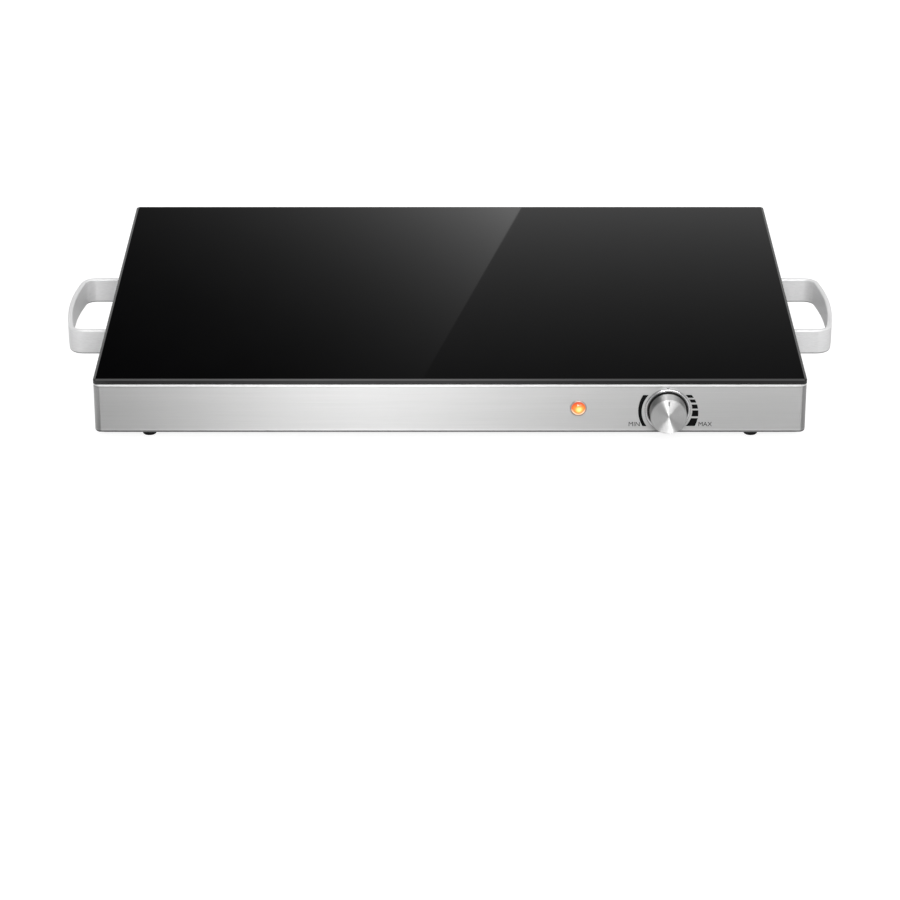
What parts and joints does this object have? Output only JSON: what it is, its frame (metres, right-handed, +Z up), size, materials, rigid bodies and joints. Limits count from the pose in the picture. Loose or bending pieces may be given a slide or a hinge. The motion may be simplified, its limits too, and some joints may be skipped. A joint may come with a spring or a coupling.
{
  "type": "electric food warmer tray",
  "caption": "Flat electric warming tray: black glass serving surface on a low brushed steel housing, loop handles, turning heat knob, lit pilot lamp and rubber feet.",
  "frame": {"origin": "middle of the overall outline, at the bottom of the feet", "axes": "+X to the right along the front, +Y to the rear, +Z up; the knob is at the front, at -Y"},
  "size_m": [0.628, 0.4132, 0.0513],
  "materials": {
    "black_glass": "polished black tempered glass",
    "brushed_housing": "stainless steel brushed along its length",
    "plain_steel": "zinc-coated sheet",
    "satin_handle": "satin, fine blasted",
    "spun_knob": "face brushed in circles",
    "plated_metal": "bright plated",
    "zinc_fastener": "zinc plated",
    "silicone": "matte black silicone",
    "rubber_foot": "matte black rubber",
    "black_plastic": "fine moulded grain",
    "amber_lens": "clear amber, lit from inside",
    "neon_glow": "glowing neon bulb",
    "white_ceramic": "unglazed",
    "brass_part": "plain",
    "copper_tube": "bare copper",
    "spreader_sheet": "mill finish",
    "mica_sheet": "pressed mica",
    "blanket_fibre": "white fibre blanket",
    "brown_lead": "insulated lead",
    "blue_lead": "insulated lead",
    "green_lead": "insulated lead",
    "glass_sleeve": "woven glass sleeve"
  },
  "bodies": {
    "tray": {"glass_top": "black_glass", "glass_seal": "silicone", "housing": "brushed_housing", "bottom_cover": "plain_steel", "cover_screws": "zinc_fastener", "foot_front_left": "rubber_foot", "foot_front_right": "rubber_foot", "foot_rear_left": "rubber_foot", "foot_rear_right": "rubber_foot", "foot_screws": "zinc_fastener", "foot_nuts": "zinc_fastener", "handle_left": "satin_handle", "handle_right": "satin_handle", "handle_brackets": "zinc_fastener", "handle_screws": "zinc_fastener", "handle_nuts": "zinc_fastener", "dial_bezel": "plated_metal", "bushing_nut": "plated_metal", "thermostat_bushing": "plated_metal", "thermostat_body": "white_ceramic", "thermostat_tabs": "brass_part", "sensor_bulb": "copper_tube", "capillary_tube": "copper_tube", "lamp_lens": "amber_lens", "lamp_bezel": "plated_metal", "lamp_body": "white_ceramic", "lamp_retainer": "zinc_fastener", "neon_bulb": "neon_glow", "heat_spreader": "spreader_sheet", "mica_upper": "mica_sheet", "heating_ribbon": "plain_steel", "mica_lower": "mica_sheet", "insulation_blanket": "blanket_fibre", "heater_pan": "plain_steel", "pan_nuts": "zinc_fastener", "heater_terminals": "brass_part", "heater_bushes": "white_ceramic", "thermal_fuse": "zinc_fastener", "fuse_clip": "zinc_fastener", "inlet_housing": "black_plastic", "inlet_pins": "brass_part", "inlet_screws": "zinc_fastener", "inlet_nuts": "zinc_fastener", "terminal_block": "white_ceramic", "terminal_screws": "brass_part", "earth_terminal": "brass_part", "lead_live": "brown_lead", "lead_neutral": "blue_lead", "lead_switched": "brown_lead", "lead_earth": "green_lead", "heater_leads": "glass_sleeve", "lamp_leads": "glass_sleeve"},
    "knob": {"knob_cap": "spun_knob", "knob_core": "black_plastic", "knob_pointer": "black_plastic", "knob_clip": "zinc_fastener", "control_shaft": "zinc_fastener"}
  },
  "joints": [
    {"name": "knob_turn", "type": "hinge", "parent": "tray", "child": "knob", "pos_m": [0.168, -0.192, 0.0263], "axis": [0, 1, 0], "range_deg": [-130, 130]}
  ]
}
